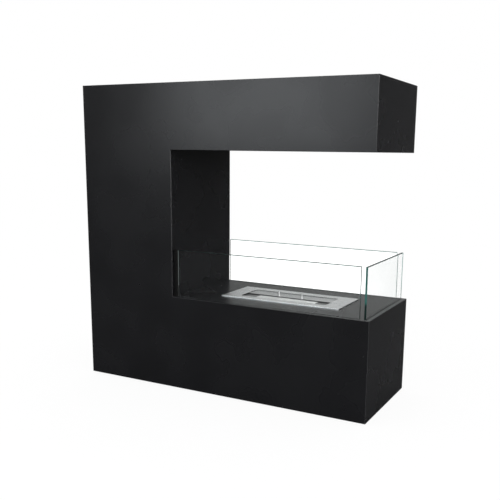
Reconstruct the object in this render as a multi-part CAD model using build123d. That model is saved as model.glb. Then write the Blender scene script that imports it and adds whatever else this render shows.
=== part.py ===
from build123d import *
import os

# Free-standing bioethanol fireplace: a C of folded sheet steel, open to the front, the back and one end,
# with a stainless burner let into its deck and a low glass screen round the flame.
# Millimetres. X runs along the front towards the open end, Y from the front to the back, Z up.
# The origin is on the floor, under the middle of the casing.

# ---- Casing ----
WIDTH = 1000.0
DEPTH = 360.0
HEIGHT = 965.0
FOOT_HEIGHT = 4.0             # the gap under the casing
DECK_LEVEL = 305.0            # top of the deck above the floor
ARM_THICKNESS = 200.0
COLUMN_WIDTH = 340.0
SHEET = 2.0                   # casing steel
BEND_INSIDE = 0.5             # inside radius of a fold
PANEL_FLANGE = 18.0           # depth of a folded panel's flanges
FLANGE_RELIEF = 1.0           # gap between the flanges of two panels that meet
PLATE_EDGE_ROUND = 1.0        # rounding of the two C plates' outer edges
ANGLE_LEG = 25.0
ANGLE_END_GAP = 30.0          # between an angle's end and the casing's face

# ---- Feet ----
FOOT_SIDE = 40.0
FOOT_CORNER = 5.0
FOOT_INSET = 50.0             # foot centre from the casing's edges
FOOT_SCREW_RADIUS = 2.5
FOOT_SCREW_LENGTH = 11.0
FOOT_HEAD_RADIUS = 4.6
FOOT_HEAD_HEIGHT = 1.8
FOOT_HEAD_POCKET = 1.0        # gap round the screw's head in the foot
SCREW_HOLE_GAP = 0.25
NUT_FLATS = 8.0
NUT_HEIGHT = 4.0

# ---- Glass screen ----
GLASS_THICKNESS = 6.0
GLASS_RISE = 150.0            # above the deck
GLASS_INSET = 17.0            # middle of a pane from the casing's face
GLASS_COLUMN_GAP = 14.0       # pane end from the column
COLUMN_STRIP_GAP = 1.0        # between the front pane's end and the rubber strip on the column
COLUMN_STRIP_WIDTH = 16.0     # of that strip, front to back
COLUMN_STRIP_CORNER = 1.0
GLASS_CORNER_GAP = 14.0       # between a long pane and the end pane
GLASS_EDGE = 0.6              # ground edge
GLASS_SLOT_GAP = 0.4          # between a pane and the sides of its slot in the deck
GASKET_WALL = 1.6
GASKET_FLOOR = 2.0
GASKET_GAP = 0.15             # between a pane and the sides of its gasket
GLASS_END_GAP = 1.0           # slot and gasket beyond each end of the pane
CHANNEL_END_GAP = 1.0         # channel beyond each end of the gasket
CHANNEL_SHEET = 1.5
CHANNEL_DEPTH = 22.0          # under the deck

# ---- Burner insert ----
FLANGE_LENGTH = 404.0
FLANGE_WIDTH = 170.0
FLANGE_RISE = 3.0             # above the deck
FLANGE_EDGE_ROUND = 0.9
BURNER_SHEET = 1.5
FLANGE_END_STRIP = 55.0       # steel beside the opening at each end
FLANGE_FRONT_STRIP = 28.0     # in front of it
FLANGE_REAR_STRIP = 34.0      # and behind it
OPENING_CORNER = 5.0
CUTOUT_GAP = 2.0              # between the burner's casing and the cut-out in the deck
BURNER_CASING_INSET = 8.0     # from the flange's edge
BURNER_CASING_DEPTH = 65.0    # below the deck
BURNER_CASING_SHEET = 1.0
BURNER_CASING_CORNER = 6.0
SEAL_WIDTH = 3.5
SEAL_GAP = 0.5                # between the seal and the flange's rim
TRAY_END_TUCK = 12.0          # how far the tray runs under each end of the flange
TRAY_SIDE_TUCK = 6.0          # and under its long sides
TRAY_DEPTH = 3.5              # from the flange's underside to the tray's floor
RAIL_WIDTH = 8.0
RAIL_HEIGHT = 1.7
SLIDER_SHEET = 1.2
SLIDER_WIDTH = 61.0
SLIDER_HEIGHT = 2.6           # over its folded rear lip
SLIDER_GAP = 0.3              # running gap on the rails and to the tray's walls
SLIDER_LIP_GAP = 1.0          # between the lip's end and the rail
KNOB_SPACING = 81.0
KNOB_SETBACK = 7.0            # knob axis behind the slider's front edge
KNOB_RADIUS = 3.2
KNOB_HEIGHT = 17.0
KNOB_COLLAR_RADIUS = 4.6
KNOB_COLLAR_HEIGHT = 1.2
KNOB_TOP_BEVEL = 0.7
KNOB_SCREW_RADIUS = 1.5
KNOB_SCREW_LENGTH = 10.0
KNOB_SCREW_GAP = 0.05
KNOB_SCREW_HEAD_RADIUS = 2.8
KNOB_SCREW_HEAD_HEIGHT = 0.8  # a thin head, because it passes over the wool

# ---- Fuel box ----
NECK_LENGTH = 206.0
NECK_WIDTH = 40.0
NECK_LINE = -26.0             # middle of the neck in front of the burner's long axis
NECK_RISE = 0.5               # above the tray's floor
NECK_GAP = 0.5                # between the neck and the hole in the tray
FUEL_BOX_LENGTH = 220.0
FUEL_BOX_WIDTH = 70.0
FUEL_BOX_DEPTH = 48.0
FUEL_BOX_SHEET = 1.2
FUEL_BOX_CORNER = 4.0
WOOL_GAP = 0.5                # between the wool and the neck
WOOL_RISE = 0.4               # of the wool above the neck
WOOL_CORNER = 2.5

# ---- Levels and places that follow from the sizes above ----
RIGHT = WIDTH / 2
FRONT = -DEPTH / 2
COLUMN_FACE = COLUMN_WIDTH - RIGHT
ARM_LEVEL = HEIGHT - ARM_THICKNESS
PANEL_WIDTH = DEPTH - 2 * SHEET
DECK_CENTRE = (COLUMN_FACE + RIGHT) / 2
FLANGE_TOP = DECK_LEVEL + FLANGE_RISE
FLANGE_UNDERSIDE = FLANGE_TOP - BURNER_SHEET
OPENING_LENGTH = FLANGE_LENGTH - 2 * FLANGE_END_STRIP
OPENING_WIDTH = FLANGE_WIDTH - FLANGE_FRONT_STRIP - FLANGE_REAR_STRIP
OPENING_LINE = (FLANGE_FRONT_STRIP - FLANGE_REAR_STRIP) / 2
BURNER_CASING_LENGTH = FLANGE_LENGTH - 2 * BURNER_CASING_INSET
BURNER_CASING_WIDTH = FLANGE_WIDTH - 2 * BURNER_CASING_INSET
TRAY_LENGTH = OPENING_LENGTH + 2 * TRAY_END_TUCK
TRAY_WIDTH = OPENING_WIDTH + 2 * TRAY_SIDE_TUCK
TRAY_FLOOR = FLANGE_UNDERSIDE - TRAY_DEPTH
TRAY_UNDERSIDE = TRAY_FLOOR - BURNER_SHEET
SLIDER_UNDERSIDE = TRAY_FLOOR + RAIL_HEIGHT + SLIDER_GAP
SLIDER_TOP = SLIDER_UNDERSIDE + SLIDER_SHEET
SLIDER_BACK = OPENING_LINE + TRAY_WIDTH / 2 - SLIDER_GAP
SLIDER_FRONT = SLIDER_BACK - SLIDER_WIDTH
KNOB_LINE = SLIDER_FRONT + KNOB_SETBACK

# The C seen from the front, as (x, z) corners in order round it. The first edge is the casing's bottom.
C_CORNERS = [
    (-RIGHT, FOOT_HEIGHT), (RIGHT, FOOT_HEIGHT), (RIGHT, DECK_LEVEL), (COLUMN_FACE, DECK_LEVEL),
    (COLUMN_FACE, ARM_LEVEL), (RIGHT, ARM_LEVEL), (RIGHT, HEIGHT), (-RIGHT, HEIGHT),
]
PANEL_NAMES = [
    "bottom_panel", "base_end_panel", "deck_panel", "column_inner_panel",
    "arm_underside_panel", "arm_end_panel", "top_panel", "left_side_panel",
]
# Corner of the C: (name of its angle, step into the two panels along X, along Z, is it an inner corner).
# The deck's outer corner has none, because the end pane's channel fills it.
ANGLES = {
    0: ("angle_bottom_left", 1, 1, False),
    1: ("angle_bottom_right", -1, 1, False),
    3: ("angle_deck_column", 1, 1, True),
    4: ("angle_arm_column", 1, -1, True),
    5: ("angle_arm_end_lower", -1, 1, False),
    6: ("angle_arm_end_upper", -1, -1, False),
    7: ("angle_top_left", 1, -1, False),
}
INNER_CORNERS = [3, 4]
FEET = {
    "foot_front_left": (-1, -1),
    "foot_front_right": (1, -1),
    "foot_rear_left": (-1, 1),
    "foot_rear_right": (1, 1),
}


# ---- Shared shapes ----
def block(length, width, low, high, centre=(0.0, 0.0), corner=0.0):
    """An upright block between two levels, with its vertical edges rounded."""
    outline = RectangleRounded(length, width, corner) if corner else Rectangle(length, width)
    return Pos(centre[0], centre[1], low) * extrude(outline, amount=high - low)


def folded_channel(width, depth, sheet):
    """The section of a sheet folded into a shallow U: web along local X, flanges towards local +Y."""
    section = Pos(0, depth / 2) * Rectangle(width, depth)
    section -= Pos(0, (depth + sheet) / 2) * Rectangle(width - 2 * sheet, depth - sheet)
    outside = section.vertices().filter_by_position(Axis.Y, -0.01, 0.01)
    section = fillet(outside, BEND_INSIDE + sheet)
    inside = section.vertices().filter_by_position(Axis.Y, sheet - 0.01, sheet + 0.01)
    return fillet(inside, BEND_INSIDE)


# ---- Casing ----
def c_plate(face_y, outward):
    """A flat C-shaped plate whose outer face lies at face_y and looks along outward (-1 front, +1 rear)."""
    outline = make_face(Polyline(*C_CORNERS, close=True))
    seat = Plane(origin=(0, face_y, 0), x_dir=(1, 0, 0), z_dir=(0, -1, 0))
    plate = extrude(seat * outline, amount=outward * SHEET)
    rim = plate.faces().sort_by(Axis.Y)[0 if outward < 0 else -1].edges()
    return fillet(rim, PLATE_EDGE_ROUND)


def panel(index):
    """The folded panel on one edge of the C. Upright panels stand between the level ones."""
    start, end = C_CORNERS[index], C_CORNERS[(index + 1) % len(C_CORNERS)]
    run = Vector(end[0] - start[0], 0, end[1] - start[1])
    along, length = run.normalized(), run.length
    upright = abs(along.Z) > 0.5
    trims = []
    for corner in (index, (index + 1) % len(C_CORNERS)):
        trims.append(-SHEET if corner in INNER_CORNERS else SHEET)
    first, last = trims if upright else (0.0, 0.0)
    seat = Plane(origin=Vector(start[0], 0, start[1]) + along * first, x_dir=(0, 1, 0), z_dir=along)
    length -= first + last
    folded = extrude(seat * folded_channel(PANEL_WIDTH, PANEL_FLANGE, SHEET), amount=length)
    for at_start, trim in ((True, trims[0]), (False, trims[1])):
        if trim < 0:
            continue
        notch = PANEL_FLANGE + FLANGE_RELIEF if upright else SHEET + FLANGE_RELIEF
        middle = notch / 2 if at_start else length - notch / 2
        cut = Box(DEPTH, PANEL_FLANGE, notch)
        folded -= seat * Pos(0, SHEET + PANEL_FLANGE / 2, middle) * cut
    return folded


def corner_angle(corner, step_x, step_z, inner):
    """An angle strip inside the casing, lying on both panels that meet at one corner of the C."""
    x, z = C_CORNERS[corner]
    offset = -2 * SHEET if inner else SHEET
    section = Polyline(
        (0, 0), (ANGLE_LEG, 0), (ANGLE_LEG, SHEET), (SHEET, SHEET), (SHEET, ANGLE_LEG), (0, ANGLE_LEG),
        close=True,
    )
    seat = Plane(origin=(0, 0, 0), x_dir=(1, 0, 0), z_dir=(0, -1, 0))
    strip = extrude(seat * make_face(section), amount=DEPTH / 2 - ANGLE_END_GAP, both=True)
    if step_x < 0:
        strip = mirror(strip, Plane.YZ)
    if step_z < 0:
        strip = mirror(strip, Plane.XY)
    return Pos(x + step_x * offset, 0, z + step_z * offset) * strip


# ---- Feet ----
def foot_places():
    return {name: (sx * (RIGHT - FOOT_INSET), -sy * (FRONT + FOOT_INSET)) for name, (sx, sy) in FEET.items()}


def foot():
    pad = block(FOOT_SIDE, FOOT_SIDE, 0, FOOT_HEIGHT, corner=FOOT_CORNER)
    pocket = Cylinder(
        FOOT_HEAD_RADIUS + FOOT_HEAD_POCKET, FOOT_HEIGHT / 2 + FOOT_HEAD_HEIGHT / 2,
        align=(Align.CENTER, Align.CENTER, Align.MIN),
    )
    hole = Cylinder(FOOT_SCREW_RADIUS + SCREW_HOLE_GAP, 4 * FOOT_HEIGHT)
    return pad - pocket - hole


def foot_screw():
    head_low = FOOT_HEIGHT / 2 - FOOT_HEAD_HEIGHT / 2
    head = Cylinder(FOOT_HEAD_RADIUS, FOOT_HEAD_HEIGHT, align=(Align.CENTER, Align.CENTER, Align.MIN))
    head = chamfer(head.edges().group_by(Axis.Z)[0], FOOT_HEAD_HEIGHT / 3)
    shank = Cylinder(
        FOOT_SCREW_RADIUS, FOOT_SCREW_LENGTH + FOOT_HEAD_HEIGHT, align=(Align.CENTER, Align.CENTER, Align.MIN)
    )
    return Pos(0, 0, head_low) * (head + shank)


def foot_nut():
    nut = extrude(RegularPolygon(NUT_FLATS / 2, 6, major_radius=False), amount=NUT_HEIGHT)
    nut -= Cylinder(FOOT_SCREW_RADIUS + SCREW_HOLE_GAP, 4 * NUT_HEIGHT)
    return Pos(0, 0, FOOT_HEIGHT + SHEET) * nut


# ---- Glass screen ----
GLASS_LINE = -FRONT - GLASS_INSET
END_GLASS_LINE = RIGHT - GLASS_INSET
LONG_GLASS_START = COLUMN_FACE + GLASS_COLUMN_GAP
LONG_GLASS_END = END_GLASS_LINE - GLASS_THICKNESS / 2 - GLASS_CORNER_GAP
LONG_GLASS = LONG_GLASS_END - LONG_GLASS_START
END_GLASS = 2 * GLASS_LINE + GLASS_THICKNESS
# Pane: (length, middle x, middle y, turned to run front to back)
PANES = {
    "front": (LONG_GLASS, (LONG_GLASS_START + LONG_GLASS_END) / 2, -GLASS_LINE, False),
    "rear": (LONG_GLASS, (LONG_GLASS_START + LONG_GLASS_END) / 2, GLASS_LINE, False),
    "end": (END_GLASS, END_GLASS_LINE, 0.0, True),
}
SLOT_WIDTH = GLASS_THICKNESS + 2 * GLASS_SLOT_GAP
CHANNEL_ROOM = GLASS_THICKNESS + 2 * (GASKET_GAP + GASKET_WALL)
CHANNEL_BOTTOM = DECK_LEVEL - SHEET - CHANNEL_DEPTH
GLASS_BOTTOM = CHANNEL_BOTTOM + CHANNEL_SHEET + GASKET_FLOOR


def along_pane(shape, pane):
    """Puts a shape made along X over the origin where one pane stands."""
    length, x, y, turned = PANES[pane]
    return Pos(x, y, 0) * Rot(0, 0, 90 if turned else 0) * shape


def glass_pane(pane):
    length = PANES[pane][0]
    sheet = block(length, GLASS_THICKNESS, GLASS_BOTTOM, DECK_LEVEL + GLASS_RISE)
    sheet = chamfer(sheet.edges().group_by(Axis.Z)[-1], GLASS_EDGE)
    return along_pane(sheet, pane)


def gasket(pane):
    length = PANES[pane][0] + 2 * GLASS_END_GAP
    low = GLASS_BOTTOM - GASKET_FLOOR
    liner = block(length, CHANNEL_ROOM, low, DECK_LEVEL - SHEET)
    liner -= block(length, CHANNEL_ROOM - 2 * GASKET_WALL, GLASS_BOTTOM, DECK_LEVEL)
    return along_pane(liner, pane)


def glazing_channel(pane):
    length = PANES[pane][0] + 2 * (GLASS_END_GAP + CHANNEL_END_GAP)
    trough = block(length, CHANNEL_ROOM + 2 * CHANNEL_SHEET, CHANNEL_BOTTOM, DECK_LEVEL - SHEET)
    trough = fillet(trough.edges().filter_by(Axis.X).group_by(Axis.Z)[0], CHANNEL_SHEET + BEND_INSIDE)
    trough -= block(length, CHANNEL_ROOM, CHANNEL_BOTTOM + CHANNEL_SHEET, DECK_LEVEL - SHEET)
    return along_pane(trough, pane)


def glass_slot(pane):
    length = PANES[pane][0] + 2 * GLASS_END_GAP
    return along_pane(block(length, SLOT_WIDTH, DECK_LEVEL - 2 * SHEET, DECK_LEVEL + SHEET), pane)


def column_strip():
    """A rubber strip on the column that fills the gap beside the front pane's end."""
    reach = GLASS_COLUMN_GAP - COLUMN_STRIP_GAP
    centre = (COLUMN_FACE + reach / 2, -GLASS_LINE)
    return block(reach, COLUMN_STRIP_WIDTH, DECK_LEVEL, DECK_LEVEL + GLASS_RISE, centre, COLUMN_STRIP_CORNER)


# ---- Burner insert, made over the origin and set on the deck by on_deck ----
def on_deck(shape):
    return Pos(DECK_CENTRE, 0, 0) * shape


def burner_flange():
    rim_length, rim_width = FLANGE_LENGTH - 2 * BURNER_SHEET, FLANGE_WIDTH - 2 * BURNER_SHEET
    flange = block(FLANGE_LENGTH, FLANGE_WIDTH, DECK_LEVEL, FLANGE_TOP)
    flange = fillet(flange.edges().group_by(Axis.Z)[-1], FLANGE_EDGE_ROUND)
    flange -= block(rim_length, rim_width, DECK_LEVEL, FLANGE_UNDERSIDE)
    opening = block(OPENING_LENGTH, OPENING_WIDTH, DECK_LEVEL, FLANGE_TOP, (0, OPENING_LINE), OPENING_CORNER)
    return flange - opening


def flange_seal():
    gap = BURNER_SHEET + SEAL_GAP
    length, width = FLANGE_LENGTH - 2 * gap, FLANGE_WIDTH - 2 * gap
    strip = block(length, width, DECK_LEVEL, FLANGE_UNDERSIDE)
    return strip - block(length - 2 * SEAL_WIDTH, width - 2 * SEAL_WIDTH, DECK_LEVEL, FLANGE_UNDERSIDE)


def burner_casing():
    low = DECK_LEVEL - BURNER_CASING_DEPTH
    wall = BURNER_CASING_SHEET
    shell = block(BURNER_CASING_LENGTH, BURNER_CASING_WIDTH, low, FLANGE_UNDERSIDE, corner=BURNER_CASING_CORNER)
    inside = block(
        BURNER_CASING_LENGTH - 2 * wall, BURNER_CASING_WIDTH - 2 * wall, low + wall, FLANGE_UNDERSIDE,
        corner=BURNER_CASING_CORNER - wall,
    )
    return shell - inside


def burner_tray():
    wall, centre = BURNER_SHEET, (0, OPENING_LINE)
    tray = block(TRAY_LENGTH + 2 * wall, TRAY_WIDTH + 2 * wall, TRAY_UNDERSIDE, FLANGE_UNDERSIDE, centre)
    tray -= block(TRAY_LENGTH, TRAY_WIDTH, TRAY_FLOOR, FLANGE_UNDERSIDE, centre)
    hole_length, hole_width = NECK_LENGTH + 2 * NECK_GAP, NECK_WIDTH + 2 * NECK_GAP
    return tray - block(hole_length, hole_width, TRAY_UNDERSIDE, TRAY_FLOOR, (0, NECK_LINE), FUEL_BOX_CORNER)


def slider_rail(side):
    """A strip on the tray's floor, against its end wall, that carries one end of the slider."""
    centre = (side * (TRAY_LENGTH - RAIL_WIDTH) / 2, OPENING_LINE)
    return block(RAIL_WIDTH, TRAY_WIDTH - 2 * SLIDER_GAP, TRAY_FLOOR, TRAY_FLOOR + RAIL_HEIGHT, centre)


def knob_place(side):
    return (side * KNOB_SPACING / 2, KNOB_LINE)


def slider_plate():
    """The lid over the flame slot: a plate with a folded rear lip, whose ends run on the rails under the flange.

    Its front edge has no lip, because it passes close over the wool. The lip is the rear half of a channel.
    """
    lip_length = TRAY_LENGTH - 2 * (RAIL_WIDTH + SLIDER_LIP_GAP)
    seat = Plane(origin=(-lip_length / 2, SLIDER_FRONT, SLIDER_TOP), x_dir=(0, -1, 0), z_dir=(1, 0, 0))
    plate = extrude(seat * folded_channel(2 * SLIDER_WIDTH, SLIDER_HEIGHT, SLIDER_SHEET), amount=lip_length)
    front_half = (0, SLIDER_FRONT - SLIDER_WIDTH / 2)
    plate -= block(TRAY_LENGTH, SLIDER_WIDTH, SLIDER_TOP - SLIDER_HEIGHT, SLIDER_TOP, front_half)
    tongue_width = SLIDER_WIDTH - SLIDER_SHEET - BEND_INSIDE
    tongue_length = TRAY_LENGTH - 2 * SLIDER_GAP
    tongue_centre = (0, SLIDER_FRONT + tongue_width / 2)
    plate += block(tongue_length, tongue_width, SLIDER_UNDERSIDE, SLIDER_TOP, tongue_centre)
    for side in (-1, 1):
        x, y = knob_place(side)
        plate -= Pos(x, y, SLIDER_TOP) * Cylinder(KNOB_SCREW_RADIUS + SCREW_HOLE_GAP, 4 * SLIDER_SHEET)
    return plate


def knob(side):
    """A turned pin with a thin collar, drilled up the middle for its screw."""
    base = (Align.CENTER, Align.CENTER, Align.MIN)
    pin = Cylinder(KNOB_RADIUS, KNOB_HEIGHT, align=base)
    pin = chamfer(pin.edges().group_by(Axis.Z)[-1], KNOB_TOP_BEVEL)
    pin += Cylinder(KNOB_COLLAR_RADIUS, KNOB_COLLAR_HEIGHT, align=base)
    pin -= Cylinder(KNOB_SCREW_RADIUS + KNOB_SCREW_GAP, KNOB_SCREW_LENGTH, align=base)
    x, y = knob_place(side)
    return Pos(x, y, SLIDER_TOP) * pin


def knob_screw(side):
    head = Cylinder(
        KNOB_SCREW_HEAD_RADIUS, KNOB_SCREW_HEAD_HEIGHT, align=(Align.CENTER, Align.CENTER, Align.MAX)
    )
    shank = Cylinder(KNOB_SCREW_RADIUS, KNOB_SCREW_LENGTH, align=(Align.CENTER, Align.CENTER, Align.MIN))
    x, y = knob_place(side)
    return Pos(x, y, SLIDER_UNDERSIDE) * (head + shank)


def fuel_box():
    wall = FUEL_BOX_SHEET
    centre = (0, NECK_LINE)
    low = TRAY_UNDERSIDE - FUEL_BOX_DEPTH
    high = TRAY_FLOOR + NECK_RISE
    box = block(FUEL_BOX_LENGTH, FUEL_BOX_WIDTH, low, TRAY_UNDERSIDE, centre, FUEL_BOX_CORNER)
    box += block(NECK_LENGTH, NECK_WIDTH, TRAY_UNDERSIDE, high, centre, FUEL_BOX_CORNER - NECK_GAP)
    box -= block(
        FUEL_BOX_LENGTH - 2 * wall, FUEL_BOX_WIDTH - 2 * wall, low + wall, TRAY_UNDERSIDE - wall,
        centre, FUEL_BOX_CORNER - wall,
    )
    box -= block(
        NECK_LENGTH - 2 * wall, NECK_WIDTH - 2 * wall, TRAY_UNDERSIDE - 2 * wall, high,
        centre, FUEL_BOX_CORNER - NECK_GAP - wall,
    )
    return box


def ceramic_wool():
    gap = FUEL_BOX_SHEET + WOOL_GAP
    low = TRAY_UNDERSIDE - FUEL_BOX_DEPTH + FUEL_BOX_SHEET
    high = TRAY_FLOOR + NECK_RISE + WOOL_RISE
    return block(NECK_LENGTH - 2 * gap, NECK_WIDTH - 2 * gap, low, high, (0, NECK_LINE), WOOL_CORNER)


# ---- Assembly ----
def build():
    nodes = {
        "front_plate": c_plate(FRONT, -1),
        "rear_plate": c_plate(-FRONT, 1),
    }
    for index, name in enumerate(PANEL_NAMES):
        nodes[name] = panel(index)
    cutout_length = BURNER_CASING_LENGTH + 2 * CUTOUT_GAP
    cutout_width = BURNER_CASING_WIDTH + 2 * CUTOUT_GAP
    nodes["deck_panel"] -= on_deck(
        block(cutout_length, cutout_width, DECK_LEVEL - 2 * SHEET, DECK_LEVEL + SHEET, corner=BURNER_CASING_CORNER)
    )
    for pane in PANES:
        nodes["deck_panel"] -= glass_slot(pane)
    for corner, (name, step_x, step_z, inner) in ANGLES.items():
        nodes[name] = corner_angle(corner, step_x, step_z, inner)

    screws, nuts = [], []
    for name, (x, y) in foot_places().items():
        nodes[name] = Pos(x, y, 0) * foot()
        screws.append(Pos(x, y, 0) * foot_screw())
        nuts.append(Pos(x, y, 0) * foot_nut())
        hole = Cylinder(FOOT_SCREW_RADIUS + SCREW_HOLE_GAP, 4 * SHEET)
        nodes["bottom_panel"] -= Pos(x, y, FOOT_HEIGHT) * hole
    nodes["foot_screws"] = Compound(children=screws)
    nodes["foot_nuts"] = Compound(children=nuts)

    for pane in PANES:
        nodes["glass_" + pane] = glass_pane(pane)
        nodes["gasket_" + pane] = gasket(pane)
        nodes["glazing_channel_" + pane] = glazing_channel(pane)
    nodes["column_strip"] = column_strip()

    nodes["burner_flange"] = on_deck(burner_flange())
    nodes["flange_seal"] = on_deck(flange_seal())
    nodes["burner_casing"] = on_deck(burner_casing())
    nodes["burner_tray"] = on_deck(burner_tray())
    nodes["slider_plate"] = on_deck(slider_plate())
    nodes["fuel_box"] = on_deck(fuel_box())
    nodes["ceramic_wool"] = on_deck(ceramic_wool())
    for side, name in ((-1, "left"), (1, "right")):
        nodes["slider_rail_" + name] = on_deck(slider_rail(side))
        nodes["knob_" + name] = on_deck(knob(side))
    nodes["knob_screws"] = Compound(children=[on_deck(knob_screw(side)) for side in (-1, 1)])
    return nodes


os.makedirs("parts", exist_ok=True)
for node, shape in build().items():
    export_step(shape, "parts/" + node + ".step")
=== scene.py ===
import math

import bpy
from mathutils import Matrix, Vector


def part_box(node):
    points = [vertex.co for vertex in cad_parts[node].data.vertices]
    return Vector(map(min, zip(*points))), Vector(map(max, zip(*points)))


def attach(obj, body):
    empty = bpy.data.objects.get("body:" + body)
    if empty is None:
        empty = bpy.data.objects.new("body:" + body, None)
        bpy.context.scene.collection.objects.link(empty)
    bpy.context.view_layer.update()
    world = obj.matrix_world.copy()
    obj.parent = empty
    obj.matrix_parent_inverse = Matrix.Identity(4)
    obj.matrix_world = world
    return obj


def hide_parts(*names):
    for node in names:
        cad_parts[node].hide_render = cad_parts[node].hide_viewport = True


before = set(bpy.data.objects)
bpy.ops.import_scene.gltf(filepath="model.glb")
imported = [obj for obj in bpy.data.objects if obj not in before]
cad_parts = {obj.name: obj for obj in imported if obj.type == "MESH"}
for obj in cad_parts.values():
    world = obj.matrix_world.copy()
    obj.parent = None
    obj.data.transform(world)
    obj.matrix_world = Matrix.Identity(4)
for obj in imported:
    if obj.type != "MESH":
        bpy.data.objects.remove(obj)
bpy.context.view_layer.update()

# Looks of the free-standing bioethanol fireplace: powder-coated sheet steel, a burner of brushed steel
# and a screen of clear glass. Metres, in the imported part's frame: Z is up and the front looks along -Y.

MM = 0.001

# ---- Camera ----
FRAME_PX = 500.0                # side of the square picture
SENSOR_MM = 36.0
FOCAL_PX = 693.45
CENTRE_PX = (269.46, 287.64)    # where the lens axis meets the picture
CAMERA_PLACE = (1.1067, -1.9647, 0.7631)
CAMERA_AZIMUTH = 27.227         # degrees round from straight in front, towards the open end
CAMERA_ELEVATION = 11.084       # degrees looking down
CAMERA_ROLL = 0.749             # degrees
CAMERA_REACH = 60.0             # nothing further away is shown

# ---- Studio ----
FLOOR_REACH = 14.0              # half the side of the floor
FLOOR_PALE = 0.085              # reflectance of the floor
FLOOR_LIFT = 0.915              # light the floor adds where the camera looks at it
WHITE_THROUGH_GLASS = 1.42      # overexposed background, as the panes pass it on
STUDIO_TINT = (0.93, 0.97, 1.0)

# How bright the world is, to matt surfaces and, each way, to glossy ones
WORLD_MATT = 1.00
WORLD_FRONT = 0.18
WORLD_BEHIND = 0.43
WORLD_BEHIND_LEFT = 0.25        # round to the closed side
WORLD_BEHIND_RIGHT = 0.07       # round to the open end
WORLD_ABOVE = 1.6
WORLD_WINDOW = 7.8              # a small window to the right, that the knobs show as a bright line

# Where one part of the world runs into the next: along Y, X, X and Z, and round the window's middle
BEHIND_FROM, BEHIND_TO = -0.15, 0.55
RIGHT_FROM, RIGHT_TO = -0.20, 0.22
LEFT_FROM, LEFT_TO = -0.34, -0.56
ABOVE_FROM, ABOVE_TO = 0.35, 0.75
WINDOW_WAY = (0.98, -0.05, 0.19)
WINDOW_RIM, WINDOW_FULL = 0.88, 0.97    # cosines to WINDOW_WAY

# Each lamp's place, the point that it looks at, its size, and its power in watts
SOFTBOXES = {
    "key_softbox": ((-1.09, -2.75, 1.18), (0.05, -0.18, 0.80), (1.48, 0.9), 15.2),
    "end_softbox": ((2.6, 0.9, 2.3), (0.5, 0.0, 0.5), (1.2, 1.2), 2.0),
    "fill_softbox": ((1.9, -2.5, 1.5), (0.1, -0.1, 0.35), (1.4, 1.0), 16.0),
}


# ---- Small helpers for node trees ----
def feed(tree, socket, value):
    """Gives an input socket its value, or links it to the socket that it reads."""
    if isinstance(value, bpy.types.NodeSocket):
        tree.links.new(value, socket)
    else:
        socket.default_value = value


def put(tree, kind, inputs=None, **settings):
    """Adds a node. settings are its properties; inputs has what feeds each socket, by name or number."""
    made = tree.nodes.new(kind)
    for name, value in settings.items():
        setattr(made, name, value)
    for name, value in (inputs or {}).items():
        feed(tree, made.inputs[name], value)
    return made


def maths(tree, operation, *values, clamp=False):
    inputs = dict(enumerate(values))
    return put(tree, "ShaderNodeMath", inputs, operation=operation, use_clamp=clamp).outputs[0]


def times(tree, first, second, clamp=False):
    return maths(tree, "MULTIPLY", first, second, clamp=clamp)


def vector_maths(tree, operation, first, second, result=0):
    return put(tree, "ShaderNodeVectorMath", {0: first, 1: second}, operation=operation).outputs[result]


def cosine(tree, first, second):
    return vector_maths(tree, "DOT_PRODUCT", first, second, "Value")


def along(tree, vector, axis):
    """A vector's length along X, Y or Z."""
    return put(tree, "ShaderNodeSeparateXYZ", {0: vector}).outputs[axis]


def remap(tree, value, low, high, to_low=0.0, to_high=1.0, smooth=True):
    """Takes low to high onto to_low to to_high, and holds the ends beyond them."""
    kind = "SMOOTHSTEP" if smooth else "LINEAR"
    inputs = {"Value": value, "From Min": low, "From Max": high, "To Min": to_low, "To Max": to_high}
    return put(tree, "ShaderNodeMapRange", inputs, interpolation_type=kind).outputs["Result"]


def between(tree, share, first, second):
    """The number on the straight way from first, where share is 0, to second, where it is 1."""
    return remap(tree, share, 0.0, 1.0, first, second, smooth=False)


def blend_numbers(tree, share, first, second):
    return put(tree, "ShaderNodeMix", {0: share, 2: first, 3: second}, data_type="FLOAT").outputs[0]


def blend_colours(tree, share, first, second):
    return put(tree, "ShaderNodeMix", {0: share, 6: first, 7: second}, data_type="RGBA").outputs[2]


def noise(tree, vector, scale, detail=2.0, roughness=0.5):
    inputs = {"Vector": vector, "Scale": scale, "Detail": detail, "Roughness": roughness}
    return put(tree, "ShaderNodeTexNoise", inputs).outputs[0]


def object_place(tree):
    return put(tree, "ShaderNodeTexCoord").outputs["Object"]


def true_normal(tree):
    return put(tree, "ShaderNodeNewGeometry").outputs["True Normal"]


def shader_group(name, inputs, outputs):
    """An empty shader node group with its sockets, its input node and its output node."""
    group = bpy.data.node_groups.new(name, "ShaderNodeTree")
    for label, kind, default in inputs:
        socket = group.interface.new_socket(label, in_out="INPUT", socket_type=kind)
        socket.default_value = default
    for label, kind in outputs:
        group.interface.new_socket(label, in_out="OUTPUT", socket_type=kind)
    given = group.nodes.new("NodeGroupInput").outputs
    return group, given, group.nodes.new("NodeGroupOutput").inputs


def use(tree, group, **inputs):
    """Places a group; its inputs are given by name, with _ for a blank."""
    made = tree.nodes.new("ShaderNodeGroup")
    made.node_tree = group
    for name, value in inputs.items():
        feed(tree, made.inputs[name.replace("_", " ")], value)
    return made.outputs


# ---- Effects that several finishes share ----
FLOAT, VECTOR = "NodeSocketFloat", "NodeSocketVector"
FACE_COSINE, EDGE_COSINE = 0.995, 0.80    # rounded to true normal, on a plain face and on an edge
UPRIGHT_TILT, LEVEL_TILT = 0.02, 0.10     # the rounded normal's height, on an upright and a level edge
BROAD_GRAIN = 0.17                        # scale of the broad grain, as a share of the fine grain's
ANY_BOUNCE = 0.5                          # a ray's depth of one kind is over this from its first bounce


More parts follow.
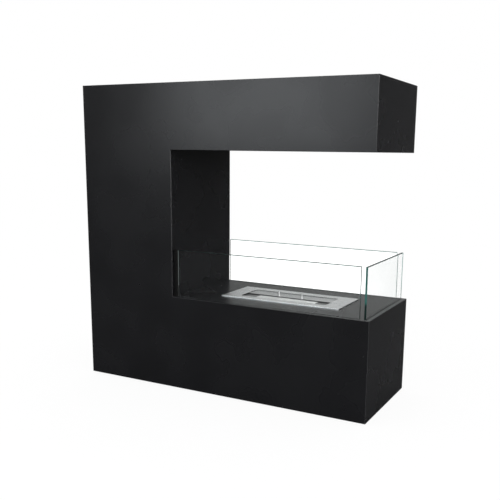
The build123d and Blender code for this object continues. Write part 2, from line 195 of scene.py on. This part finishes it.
def make_worn_edges_and_painted_highlight():
    """Masks of the outer edges, where a rounded normal turns away from the true one.

    Edge has all of them, broken up, for wear. Upright has only the upright ones, unbroken, for a painted
    highlight.
    """
    group, given, out = shader_group(
        "worn_edges_and_painted_highlight",
        [("Radius", FLOAT, 0.001), ("Breakup", FLOAT, 0.5)],
        [("Edge", FLOAT), ("Upright", FLOAT)],
    )
    place = object_place(group)
    rounded = put(group, "ShaderNodeBevel", {"Radius": given["Radius"]}, samples=4).outputs[0]
    edge = remap(group, cosine(group, rounded, true_normal(group)), FACE_COSINE, EDGE_COSINE)
    broken = remap(group, noise(group, place, scale=60.0, detail=4.0), 0.35, 0.65)
    kept = maths(group, "SUBTRACT", 1.0, times(group, given["Breakup"], broken))
    group.links.new(times(group, edge, kept, clamp=True), out["Edge"])
    # Upright edges only: the mask of the painted highlight line
    tilt = maths(group, "ABSOLUTE", along(group, rounded, "Z"))
    standing = remap(group, tilt, UPRIGHT_TILT, LEVEL_TILT, 1.0, 0.0)
    group.links.new(times(group, edge, standing, clamp=True), out["Upright"])
    return group


def make_grain():
    """Fine grain for bump and a slow mottle. Stretch sets how many grains lie along each axis."""
    group, given, out = shader_group(
        "grain",
        [
            ("Stretch", VECTOR, (1.0, 1.0, 1.0)),
            ("Fine Scale", FLOAT, 800.0),
            ("Mottle Scale", FLOAT, 9.0),
        ],
        [("Height", FLOAT), ("Mottle", FLOAT), ("Streak", FLOAT)],
    )
    place = object_place(group)
    laid = vector_maths(group, "MULTIPLY", place, given["Stretch"])
    fine = noise(group, laid, given["Fine Scale"], detail=3.0, roughness=0.6)
    broad = noise(group, laid, times(group, given["Fine Scale"], BROAD_GRAIN))
    group.links.new(fine, out["Height"])
    mottle = noise(group, place, given["Mottle Scale"], detail=3.0)
    group.links.new(remap(group, mottle, 0.3, 0.7), out["Mottle"])
    group.links.new(remap(group, maths(group, "ADD", fine, broad), 0.75, 1.25), out["Streak"])
    return group


def make_dust():
    """Thin settled dust: only on faces that look up, in slow patches and fine specks."""
    group, given, out = shader_group("dust", [("Amount", FLOAT, 0.2)], [("Dust", FLOAT)])
    place = object_place(group)
    upward = along(group, put(group, "ShaderNodeNewGeometry").outputs["Normal"], "Z")
    patches = remap(group, noise(group, place, scale=7.0, detail=5.0, roughness=0.65), 0.35, 0.75)
    specks = remap(group, noise(group, place, scale=420.0, detail=1.0), 0.62, 0.72)
    cover = maths(group, "ADD", times(group, patches, 0.5), specks, clamp=True)
    facing = remap(group, upward, 0.55, 0.95)
    group.links.new(times(group, times(group, facing, cover), given["Amount"]), out["Dust"])
    return group


WORN_EDGES_AND_PAINTED_HIGHLIGHT, GRAIN, DUST = make_worn_edges_and_painted_highlight(), make_grain(), make_dust()


# ---- Finishes ----
def finish_for(name):
    """A new material with its tree and its Principled node, wired to the output."""
    material = bpy.data.materials.new(name)
    material.use_nodes = True
    tree = material.node_tree
    tree.nodes.clear()
    surface = put(tree, "ShaderNodeBsdfPrincipled")
    put(tree, "ShaderNodeOutputMaterial", {"Surface": surface.outputs[0]})
    return material, tree, surface


def grey(value, blue=1.0):
    return (value, value, value * blue, 1.0)


def set_surface(tree, surface, colour, roughness, height, strength, distance, normal=None):
    """Feeds colour, roughness and bump to a Principled node. The bump lies over normal, if given."""
    feed(tree, surface.inputs["Base Color"], colour)
    feed(tree, surface.inputs["Roughness"], roughness)
    inputs = {"Strength": strength, "Distance": distance, "Height": height}
    bump = put(tree, "ShaderNodeBump", inputs if normal is None else {**inputs, "Normal": normal})
    tree.links.new(bump.outputs[0], surface.inputs["Normal"])


COAT_IOR = 1.42


def powder_coat():
    """Satin black powder coat: fine orange peel, a slow mottle and a touch of dust.

    It is a little thin on every outer edge, and has a painted highlight, a paler line, down the upright
    ones.
    """
    material, tree, surface = finish_for("black_steel_finish")
    grain = use(tree, GRAIN, Fine_Scale=650.0, Mottle_Scale=5.0)
    edges = use(tree, WORN_EDGES_AND_PAINTED_HIGHLIGHT, Radius=1.9 * MM, Breakup=0.35)
    dust = use(tree, DUST, Amount=0.012)["Dust"]
    body = blend_colours(tree, grain["Mottle"], grey(0.0094, 1.12), grey(0.0120, 1.12))
    thin = blend_colours(tree, times(tree, edges["Edge"], 0.03), body, grey(0.10, 1.05))
    # Painted highlight: a paler line down every upright outer edge, standing for light caught by the edge
    with_painted_edge_highlight = blend_colours(tree, times(tree, edges["Upright"], 0.8), thin, grey(0.27, 1.03))
    dusty = blend_colours(tree, dust, with_painted_edge_highlight, grey(0.20, 0.95))
    rough = between(tree, grain["Mottle"], 0.24, 0.29)
    set_surface(tree, surface, dusty, rough, grain["Height"], strength=0.15, distance=0.04 * MM)
    surface.inputs["IOR"].default_value = COAT_IOR
    return material


FLANGE_RIM = 3 * MM           # width of the margin that counts as the flange's outer rim, kept free of the painted shade
FOLD_ROUNDING = 1.2 * MM      # how far the burner's folded edges catch the light
LEANING, STANDING = 0.30, 0.05    # the normal's height, on a face that leans and on an upright one


def within_rim(tree):
    """1 over the burner, 0 on the outer rim of its flange."""
    low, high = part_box("burner_flange")
    offset = vector_maths(tree, "SUBTRACT", object_place(tree), (low + high) / 2)
    away = put(tree, "ShaderNodeSeparateXYZ", {0: offset}).outputs
    reach = (high - low) / 2
    inside = []
    for axis in (0, 1):
        distance = maths(tree, "ABSOLUTE", away[axis])
        inside.append(maths(tree, "LESS_THAN", distance, reach[axis] - FLANGE_RIM))
    return times(tree, *inside)


def brushed_steel(name, low, high, upright_painted_shade):
    """Stainless steel brushed along the burner's length, between the tones low and high.

    Upright faces within the flange's rim, such as the opening's edges, take the last tone: a painted
    shade for the dark gaps there.
    """
    material, tree, surface = finish_for(name)
    grain = use(tree, GRAIN, Stretch=(0.012, 1.0, 1.0), Fine_Scale=1500.0, Mottle_Scale=14.0)
    edge = use(tree, WORN_EDGES_AND_PAINTED_HIGHLIGHT, Radius=0.5 * MM, Breakup=0.2)["Edge"]
    body = blend_colours(tree, grain["Streak"], grey(low, 1.01), grey(high, 1.01))
    toned = blend_colours(tree, times(tree, grain["Mottle"], 0.25), body, grey(0.9 * low, 1.03))
    bright = blend_colours(tree, times(tree, edge, 0.5), toned, grey(high))
    tilt = maths(tree, "ABSOLUTE", along(tree, true_normal(tree), "Z"))
    upright = remap(tree, tilt, LEANING, STANDING)
    # Painted shade: upright faces within the flange's rim take the darker tone, for the shadow gaps round
    # the opening
    shaded = blend_colours(tree, times(tree, upright, within_rim(tree)), bright, grey(upright_painted_shade))
    rough = between(tree, grain["Streak"], 0.40, 0.26)
    rounded = put(tree, "ShaderNodeBevel", {"Radius": FOLD_ROUNDING}, samples=6).outputs[0]
    set_surface(tree, surface, shaded, rough, grain["Height"], 0.20, 0.02 * MM, normal=rounded)
    surface.inputs["Metallic"].default_value = 1.0
    return material


def turned_steel():
    """The knobs: fine rings left by turning, round their upright axis."""
    material, tree, surface = finish_for("turned_steel_finish")
    grain = use(tree, GRAIN, Stretch=(0.05, 0.05, 1.0), Fine_Scale=2600.0, Mottle_Scale=60.0)
    edge = use(tree, WORN_EDGES_AND_PAINTED_HIGHLIGHT, Radius=0.4 * MM, Breakup=0.2)["Edge"]
    body = blend_colours(tree, grain["Streak"], grey(0.60, 1.01), grey(0.70, 1.0))
    bright = blend_colours(tree, times(tree, edge, 0.5), body, grey(0.80))
    rough = between(tree, grain["Mottle"], 0.34, 0.42)
    set_surface(tree, surface, bright, rough, grain["Height"], strength=0.2, distance=0.015 * MM)
    surface.inputs["Metallic"].default_value = 1.0
    return material


def zinc_plate():
    """Zinc-plated fasteners: a faint bluish spangle."""
    material, tree, surface = finish_for("zinc_fasteners_finish")
    spangle = {"Vector": object_place(tree), "Scale": 900.0}
    cells = put(tree, "ShaderNodeTexVoronoi", spangle).outputs["Color"]
    tone = put(tree, "ShaderNodeSeparateColor", {0: cells}).outputs[0]
    edge = use(tree, WORN_EDGES_AND_PAINTED_HIGHLIGHT, Radius=0.3 * MM, Breakup=0.4)["Edge"]
    body = blend_colours(tree, tone, grey(0.44, 1.08), grey(0.60, 1.05))
    worn = blend_colours(tree, times(tree, edge, 0.6), body, grey(0.75))
    rough = between(tree, tone, 0.30, 0.45)
    set_surface(tree, surface, worn, rough, tone, strength=0.1, distance=0.01 * MM)
    surface.inputs["Metallic"].default_value = 1.0
    return material


def black_rubber(name, low, high, gloss):
    """Moulded rubber of the feet, the glazing gaskets and the strip on the column."""
    material, tree, surface = finish_for(name)
    grain = use(tree, GRAIN, Fine_Scale=1200.0, Mottle_Scale=40.0)
    dust = use(tree, DUST, Amount=0.15)["Dust"]
    body = blend_colours(tree, grain["Mottle"], grey(low), grey(high))
    dusty = blend_colours(tree, dust, body, grey(0.18))
    rough = between(tree, grain["Streak"], 0.62, 0.85)
    set_surface(tree, surface, dusty, rough, grain["Height"], strength=0.4, distance=0.05 * MM)
    surface.inputs["Specular IOR Level"].default_value = gloss
    return material


def seal_fibre():
    """Pressed fibre strip under the burner's flange: short pale strands along its run."""
    material, tree, surface = finish_for("seal_fibre_finish")
    grain = use(tree, GRAIN, Stretch=(0.15, 0.15, 1.0), Fine_Scale=2200.0, Mottle_Scale=90.0)
    body = blend_colours(tree, grain["Streak"], grey(0.30, 0.93), grey(0.62, 0.95))
    toned = blend_colours(tree, times(tree, grain["Mottle"], 0.4), body, grey(0.40, 0.9))
    set_surface(tree, surface, toned, 0.9, grain["Streak"], strength=0.5, distance=0.1 * MM)
    return material


def ceramic_fibre():
    """White ceramic wool, a little warmer in slow patches."""
    material, tree, surface = finish_for("ceramic_wool_finish")
    grain = use(tree, GRAIN, Stretch=(0.3, 1.0, 1.0), Fine_Scale=1400.0, Mottle_Scale=70.0)
    body = blend_colours(tree, grain["Streak"], grey(0.80, 0.985), grey(0.93, 0.995))
    toned = blend_colours(tree, times(tree, grain["Mottle"], 0.3), body, grey(0.74, 0.97))
    rough = between(tree, grain["Mottle"], 0.85, 1.0)
    set_surface(tree, surface, toned, rough, grain["Streak"], strength=0.5, distance=0.15 * MM)
    return material


GLASS_FOOT, GLASS_TOP = (corner.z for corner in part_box("glass_front"))
GLASS_GROUND = 1.6 * MM       # how far down from the top, and up from the foot, a pane is ground
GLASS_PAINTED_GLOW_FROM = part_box("deck_panel")[1].z + 38 * MM    # below this the painted glow of an upright edge fades, a painted shade for the dark seat
GLASS_PAINTED_GLOW_RISE = 15 * MM      # and this far above it, its whole painted glow
GLASS_SEAT_PAINTED_GLOW = 0.06       # share of its painted glow that it has below
GLASS_FACE_COSINE = 0.9       # a face that looks along the pane's axis is over this
GLASS_UPRIGHT_TILT = 0.3      # and an upright edge's normal is lower than this
GLASS_IOR = 1.30              # less than real glass has, because the photograph's panes hardly reflect
GLASS_CLEAR = (0.99, 0.998, 0.995, 1.0)
GLASS_SMEAR = (0.965, 0.98, 0.975, 1.0)
GLASS_EDGE_GREEN = (0.008, 0.035, 0.029, 1.0)
# Painted glow of the upright edges: emission standing for light the edge carries from past the pane's far
# end
GLASS_PAINTED_GLOW_OPEN = (0.030, 0.112, 0.098, 1.0)
GLASS_PAINTED_GLOW_COLUMN = (0.012, 0.022, 0.021, 1.0)
GLASS_EDGE_ROUGH = 0.35       # ground top and foot
GLASS_END_ROUGH = 0.10        # polished upright ends
# What a pane lets by: of a lamp's light, and of what another surface mirrors through it
GLASS_SHADOW = (0.90, 0.93, 0.92, 1.0)
GLASS_MIRRORED = (0.97, 0.985, 0.98, 1.0)


def clear_glass(name, facing, glow):
    """Toughened float glass, clear through the faces that look along facing and green through its edges.

    An upright edge glows in the green given as glow: a painted glow that stands for the light it would
    pass on from past the pane's far end. Near the deck the painted glow fades, a painted shade for the
    dark seat, and the top edge has none anywhere.
    """
    material, tree, surface = finish_for(name)
    place = object_place(tree)
    normal = true_normal(tree)
    across = maths(tree, "ABSOLUTE", cosine(tree, normal, facing))
    edge = maths(tree, "LESS_THAN", across, GLASS_FACE_COSINE)
    height = along(tree, place, "Z")
    ground_top = maths(tree, "GREATER_THAN", height, GLASS_TOP - GLASS_GROUND)
    ground_foot = maths(tree, "LESS_THAN", height, GLASS_FOOT + GLASS_GROUND)
    ground = maths(tree, "MAXIMUM", ground_top, ground_foot)
    painted_glow_share = remap(tree, height, GLASS_PAINTED_GLOW_FROM, GLASS_PAINTED_GLOW_FROM + GLASS_PAINTED_GLOW_RISE, GLASS_SEAT_PAINTED_GLOW, 1.0)
    smears = remap(tree, noise(tree, place, scale=11.0, detail=4.0, roughness=0.6), 0.45, 0.75)
    clear = blend_colours(tree, times(tree, smears, 0.5), GLASS_CLEAR, GLASS_SMEAR)
    dull = maths(tree, "MAXIMUM", edge, ground)
    tree.links.new(blend_colours(tree, dull, clear, GLASS_EDGE_GREEN), surface.inputs["Base Color"])
    tilt = maths(tree, "ABSOLUTE", along(tree, normal, "Z"))
    upright = maths(tree, "LESS_THAN", tilt, GLASS_UPRIGHT_TILT)
    painted_glow_mask = times(tree, times(tree, edge, upright), painted_glow_share)
    # Painted glow: emission on the upright edges, fading near the deck as painted shade of the seat
    tree.links.new(blend_colours(tree, painted_glow_mask, grey(0.0), glow), surface.inputs["Emission Color"])
    surface.inputs["Emission Strength"].default_value = 1.0
    rough = between(tree, ground, GLASS_END_ROUGH, GLASS_EDGE_ROUGH)
    tree.links.new(times(tree, dull, rough), surface.inputs["Roughness"])
    surface.inputs["IOR"].default_value = GLASS_IOR
    surface.inputs["Transmission Weight"].default_value = 1.0
    path = put(tree, "ShaderNodeLightPath").outputs
    mirrored = maths(tree, "GREATER_THAN", path["Glossy Depth"], ANY_BOUNCE)
    unseen = maths(tree, "MAXIMUM", path["Is Shadow Ray"], mirrored)
    tint = blend_colours(tree, mirrored, GLASS_SHADOW, GLASS_MIRRORED)
    passing = put(tree, "ShaderNodeBsdfTransparent", {"Color": tint})
    choice = put(tree, "ShaderNodeMixShader", {0: unseen, 1: surface.outputs[0], 2: passing.outputs[0]})
    output = next(n for n in tree.nodes if n.type == "OUTPUT_MATERIAL")
    tree.links.new(choice.outputs[0], output.inputs["Surface"])
    return material


BRUSHED_LOW, BRUSHED_HIGH = 0.74, 0.90
UPRIGHT_PAINTED_SHADE = 0.16              # painted shade: the dark tone of the upright faces round the burner's opening
FINISHES = {
    "black_steel": powder_coat(),
    "brushed_steel": brushed_steel("brushed_steel_finish", BRUSHED_LOW, BRUSHED_HIGH, upright_painted_shade=BRUSHED_LOW),
    "turned_steel": turned_steel(),
    "zinc_fasteners": zinc_plate(),
    "black_rubber": black_rubber("black_rubber_finish", 0.010, 0.020, gloss=0.5),
    "seal_fibre": seal_fibre(),
    "ceramic_wool": ceramic_fibre(),
    "clear_glass": clear_glass("clear_glass_finish", facing=(0.0, 1.0, 0.0), glow=GLASS_PAINTED_GLOW_COLUMN),
}
# Nodes whose finish differs from their slot's plain one: the end pane faces the other way, the flange
# has painted shade on the upright faces round its opening, the slider is a little darker, the steel
# under it is much darker as painted shade of the recess under the flange, and the strip is matt.
# Painted shade: the tray and the slider's rails, under the flange, are much darker steel for the shade in
# the recess
RECESS_PAINTED_SHADE_STEEL = brushed_steel("recess_painted_shade_steel_finish", 0.26, 0.36, UPRIGHT_PAINTED_SHADE)
OWN_FINISHES = {
    "glass_end": clear_glass("clear_glass_end_finish", facing=(1.0, 0.0, 0.0), glow=GLASS_PAINTED_GLOW_OPEN),
    "burner_flange": brushed_steel("flange_steel_finish", BRUSHED_LOW, BRUSHED_HIGH, UPRIGHT_PAINTED_SHADE),
    "slider_plate": brushed_steel("slider_steel_finish", 0.58, 0.70, UPRIGHT_PAINTED_SHADE),
    "slider_rail_left": RECESS_PAINTED_SHADE_STEEL,
    "slider_rail_right": RECESS_PAINTED_SHADE_STEEL,
    "burner_tray": RECESS_PAINTED_SHADE_STEEL,
    "column_strip": black_rubber("matt_rubber_finish", 0.003, 0.005, gloss=0.15),
}


def dress_nodes():
    """Gives every CAD node the finish of its slot, or its own."""
    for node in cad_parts.values():
        for held in node.material_slots:
            held.material = FINISHES[held.material.name.split(".")[0]]
    for name, finish in OWN_FINISHES.items():
        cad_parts[name].material_slots[0].material = finish


# ---- Ceramic wool ----
WOOL_CLEAR = 0.35 * MM        # fibres lie just inside the solid they stand for
WOOL_GRID = {"Vertices X": 104, "Vertices Y": 22, "Vertices Z": 14}
WOOL_LUMPS = 260.0            # scale of the tufts
WOOL_UPWARD = 0.7             # faces that look up more than this carry fibres
FIBRE_BOW = 0.22              # of its length
FIBRE_SIDES = 3
FIBRE_STEPS = 3
FIBRE_TILT = 0.12             # radians, either way
FULL_TURN = 6.283


def wool_tree():
    """A block of wool with a tufted surface and loose fibres on its top."""
    tree = bpy.data.node_groups.new("wool_block", "GeometryNodeTree")
    tree.interface.new_socket("Geometry", in_out="OUTPUT", socket_type="NodeSocketGeometry")
    for label, kind, default in (
        ("Size", "NodeSocketVector", (0.2, 0.04, 0.05)),
        ("Centre", "NodeSocketVector", (0.0, 0.0, 0.0)),
        ("Tuft", "NodeSocketFloat", 0.8 * MM),
        ("Fibre Length", "NodeSocketFloat", 7 * MM),
        ("Fibre Radius", "NodeSocketFloat", 0.09 * MM),
        ("Fibres per Area", "NodeSocketFloat", 2.6e5),
        ("Seed", "NodeSocketInt", 7),
        ("Finish", "NodeSocketMaterial", None),
    ):
        socket = tree.interface.new_socket(label, in_out="INPUT", socket_type=kind)
        if default is not None:
            socket.default_value = default
    given = tree.nodes.new("NodeGroupInput").outputs
    out = tree.nodes.new("NodeGroupOutput").inputs

    cube = put(tree, "GeometryNodeMeshCube", {"Size": given["Size"], **WOOL_GRID}).outputs["Mesh"]
    moved = {"Geometry": cube, "Translation": given["Centre"]}
    block = put(tree, "GeometryNodeTransform", moved).outputs[0]
    place = put(tree, "GeometryNodeInputPosition").outputs[0]
    normal = put(tree, "GeometryNodeInputNormal").outputs[0]
    lumps = noise(tree, place, WOOL_LUMPS, detail=3.0)
    inward = times(tree, times(tree, lumps, given["Tuft"]), -1.0)
    push = put(tree, "ShaderNodeVectorMath", {0: normal, "Scale": inward}, operation="SCALE").outputs[0]
    tufted = put(tree, "GeometryNodeSetPosition", {"Geometry": block, "Offset": push}).outputs[0]

    upward = {0: along(tree, normal, "Z"), 1: WOOL_UPWARD}
    greater = dict(data_type="FLOAT", operation="GREATER_THAN")
    top = put(tree, "FunctionNodeCompare", upward, **greater).outputs[0]
    density, seed = given["Fibres per Area"], given["Seed"]
    scatter = {"Mesh": tufted, "Selection": top, "Density": density, "Seed": seed}
    points = put(tree, "GeometryNodeDistributePointsOnFaces", scatter).outputs["Points"]
    half = times(tree, given["Fibre Length"], 0.5)
    bow = times(tree, given["Fibre Length"], FIBRE_BOW)
    start = put(tree, "ShaderNodeCombineXYZ", {"X": times(tree, half, -1.0)}).outputs[0]
    middle = put(tree, "ShaderNodeCombineXYZ", {"Y": bow}).outputs[0]
    end = put(tree, "ShaderNodeCombineXYZ", {"X": half}).outputs[0]
    bend = {"Resolution": FIBRE_STEPS, "Start": start, "Middle": middle, "End": end}
    arc = put(tree, "GeometryNodeCurveQuadraticBezier", bend).outputs[0]
    girth = {"Resolution": FIBRE_SIDES, "Radius": given["Fibre Radius"]}
    ring = put(tree, "GeometryNodeCurvePrimitiveCircle", girth).outputs[0]
    skin = {"Curve": arc, "Profile Curve": ring, "Fill Caps": True}
    fibre = put(tree, "GeometryNodeCurveToMesh", skin).outputs[0]
    least, most = (-FIBRE_TILT, -FIBRE_TILT, 0.0), (FIBRE_TILT, FIBRE_TILT, FULL_TURN)
    draw = {0: least, 1: most, "Seed": seed}
    spin = put(tree, "FunctionNodeRandomValue", draw, data_type="FLOAT_VECTOR").outputs[0]
    laid = {"Points": points, "Instance": fibre, "Rotation": spin}
    strands = put(tree, "GeometryNodeInstanceOnPoints", laid).outputs[0]
    joined = put(tree, "GeometryNodeJoinGeometry")
    tree.links.new(tufted, joined.inputs[0])
    tree.links.new(strands, joined.inputs[0])
    real = put(tree, "GeometryNodeRealizeInstances", {"Geometry": joined.outputs[0]}).outputs[0]
    coated = {"Geometry": real, "Material": given["Finish"]}
    tree.links.new(put(tree, "GeometryNodeSetMaterial", coated).outputs[0], out["Geometry"])
    return tree


def grow(name, tree, settings):
    """Runs a geometry tree with its named inputs set and returns its result as a plain mesh object."""
    seed_mesh = bpy.data.meshes.new(name + "_seed")
    holder = bpy.data.objects.new(name, seed_mesh)
    bpy.context.scene.collection.objects.link(holder)
    modifier = holder.modifiers.new("grow", "NODES")
    modifier.node_group = tree
    sockets = {s.name: s.identifier for s in tree.interface.items_tree if s.in_out == "INPUT"}
    for label, value in settings.items():
        modifier[sockets[label]] = value
    graph = bpy.context.evaluated_depsgraph_get()
    mesh = bpy.data.meshes.new_from_object(holder.evaluated_get(graph))
    holder.modifiers.remove(modifier)
    holder.data = mesh
    mesh.name = name
    bpy.data.meshes.remove(seed_mesh)
    return holder


def make_wool():
    """The wool in the fuel box's neck. It replaces its plain solid, and its top is a little lower."""
    low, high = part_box("ceramic_wool")
    size = high - low - Vector((0, 0, WOOL_CLEAR))
    centre = (low + high) / 2 - Vector((0, 0, WOOL_CLEAR / 2))
    settings = {"Size": size, "Centre": centre, "Finish": FINISHES["ceramic_wool"]}
    wool = grow("ceramic_wool_block", wool_tree(), settings)
    for face in wool.data.polygons:
        face.use_smooth = True
    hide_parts("ceramic_wool")
    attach(wool, "burner")


# ---- Floor, world, lamps and camera ----
def seen_white(tree, path, level):
    """level where the camera looks, more through glass, and 0 for light that a surface has sent on."""
    sent_on = maths(tree, "ADD", path["Glossy Depth"], path["Diffuse Depth"])
    straight = maths(tree, "LESS_THAN", sent_on, ANY_BOUNCE)
    through = times(tree, path["Is Transmission Ray"], straight)
    brighter = times(tree, through, WHITE_THROUGH_GLASS)
    return times(tree, maths(tree, "ADD", path["Is Camera Ray"], brighter), level)


def make_floor():
    """A plain pale floor that the camera sees as white and that keeps the object's shadow."""
    reach = FLOOR_REACH
    mesh = bpy.data.meshes.new("studio_floor")
    corners = [(-reach, -reach, 0), (reach, -reach, 0), (reach, reach, 0), (-reach, reach, 0)]
    mesh.from_pydata(corners, [], [(0, 1, 2, 3)])
    floor = bpy.data.objects.new("studio_floor", mesh)
    bpy.context.scene.collection.objects.link(floor)
    material = bpy.data.materials.new("studio_floor_paint")
    material.use_nodes = True
    tree = material.node_tree
    tree.nodes.clear()
    path = put(tree, "ShaderNodeLightPath").outputs
    matt = put(tree, "ShaderNodeBsdfDiffuse", {"Color": grey(FLOOR_PALE)})
    white = {"Color": grey(1.0), "Strength": seen_white(tree, path, FLOOR_LIFT)}
    lift = put(tree, "ShaderNodeEmission", white)
    lifted = put(tree, "ShaderNodeAddShader", {0: matt.outputs[0], 1: lift.outputs[0]})
    put(tree, "ShaderNodeOutputMaterial", {"Surface": lifted.outputs[0]})
    mesh.materials.append(material)


def make_world():
    """White where the camera looks. Gloss meets light behind the object and overhead, little in front."""
    world = bpy.data.worlds.new("studio")
    bpy.context.scene.world = world
    world.use_nodes = True
    tree = world.node_tree
    tree.nodes.clear()
    direction = put(tree, "ShaderNodeTexCoord").outputs["Generated"]
    way = put(tree, "ShaderNodeSeparateXYZ", {0: direction}).outputs
    behind = remap(tree, way["Y"], BEHIND_FROM, BEHIND_TO)
    rightward = remap(tree, way["X"], RIGHT_FROM, RIGHT_TO)
    left_part = remap(tree, way["X"], LEFT_FROM, LEFT_TO, WORLD_BEHIND, WORLD_BEHIND_LEFT)
    back = blend_numbers(tree, rightward, left_part, WORLD_BEHIND_RIGHT)
    off_window = cosine(tree, direction, WINDOW_WAY)
    front = remap(tree, off_window, WINDOW_RIM, WINDOW_FULL, WORLD_FRONT, WORLD_WINDOW)
    around = blend_numbers(tree, behind, front, back)
    overhead = remap(tree, way["Z"], ABOVE_FROM, ABOVE_TO)
    gloss = blend_numbers(tree, overhead, around, WORLD_ABOVE)
    path = put(tree, "ShaderNodeLightPath").outputs
    level = blend_numbers(tree, path["Is Diffuse Ray"], gloss, WORLD_MATT)
    strength = maths(tree, "MAXIMUM", level, seen_white(tree, path, 1.0))
    light = put(tree, "ShaderNodeBackground", {"Color": grey(1.0), "Strength": strength})
    put(tree, "ShaderNodeOutputWorld", {"Surface": light.outputs[0]})
    world.cycles.sampling_method = "NONE"


def make_softbox(name, place, aim, size, power):
    """A soft rectangular lamp."""
    lamp = bpy.data.lights.new(name, "AREA")
    lamp.shape = "RECTANGLE"
    lamp.size, lamp.size_y = size
    lamp.energy = power
    lamp.color = STUDIO_TINT
    softbox = bpy.data.objects.new(name, lamp)
    softbox.location = place
    softbox.rotation_euler = (Vector(aim) - Vector(place)).to_track_quat("-Z", "Y").to_euler()
    bpy.context.scene.collection.objects.link(softbox)


def make_camera():
    """A camera at the photograph's place, shifted because its axis isn't at the picture's middle."""
    lens = bpy.data.cameras.new("photo_camera")
    lens.sensor_width = SENSOR_MM
    lens.lens = FOCAL_PX / FRAME_PX * SENSOR_MM
    lens.shift_x = (FRAME_PX / 2 - CENTRE_PX[0]) / FRAME_PX
    lens.shift_y = (CENTRE_PX[1] - FRAME_PX / 2) / FRAME_PX
    lens.clip_end = CAMERA_REACH
    angles = (CAMERA_AZIMUTH, CAMERA_ELEVATION, CAMERA_ROLL)
    azimuth, elevation, roll = (math.radians(angle) for angle in angles)
    right = Vector((math.cos(azimuth), math.sin(azimuth), 0))
    flat = math.cos(elevation)
    ahead = Vector((-math.sin(azimuth) * flat, math.cos(azimuth) * flat, -math.sin(elevation)))
    up = right.cross(ahead)
    rolled_right = math.cos(roll) * right + math.sin(roll) * up
    rolled_up = math.cos(roll) * up - math.sin(roll) * right
    turn = Matrix((rolled_right, rolled_up, -ahead)).transposed()
    camera = bpy.data.objects.new("photo_camera", lens)
    camera.matrix_world = Matrix.Translation(CAMERA_PLACE) @ turn.to_4x4()
    bpy.context.scene.collection.objects.link(camera)
    bpy.context.scene.camera = camera


dress_nodes()
make_wool()
make_floor()
make_world()
for softbox_name, softbox_settings in SOFTBOXES.items():
    make_softbox(softbox_name, *softbox_settings)
make_camera()
bpy.context.scene.view_settings.view_transform = "Standard"
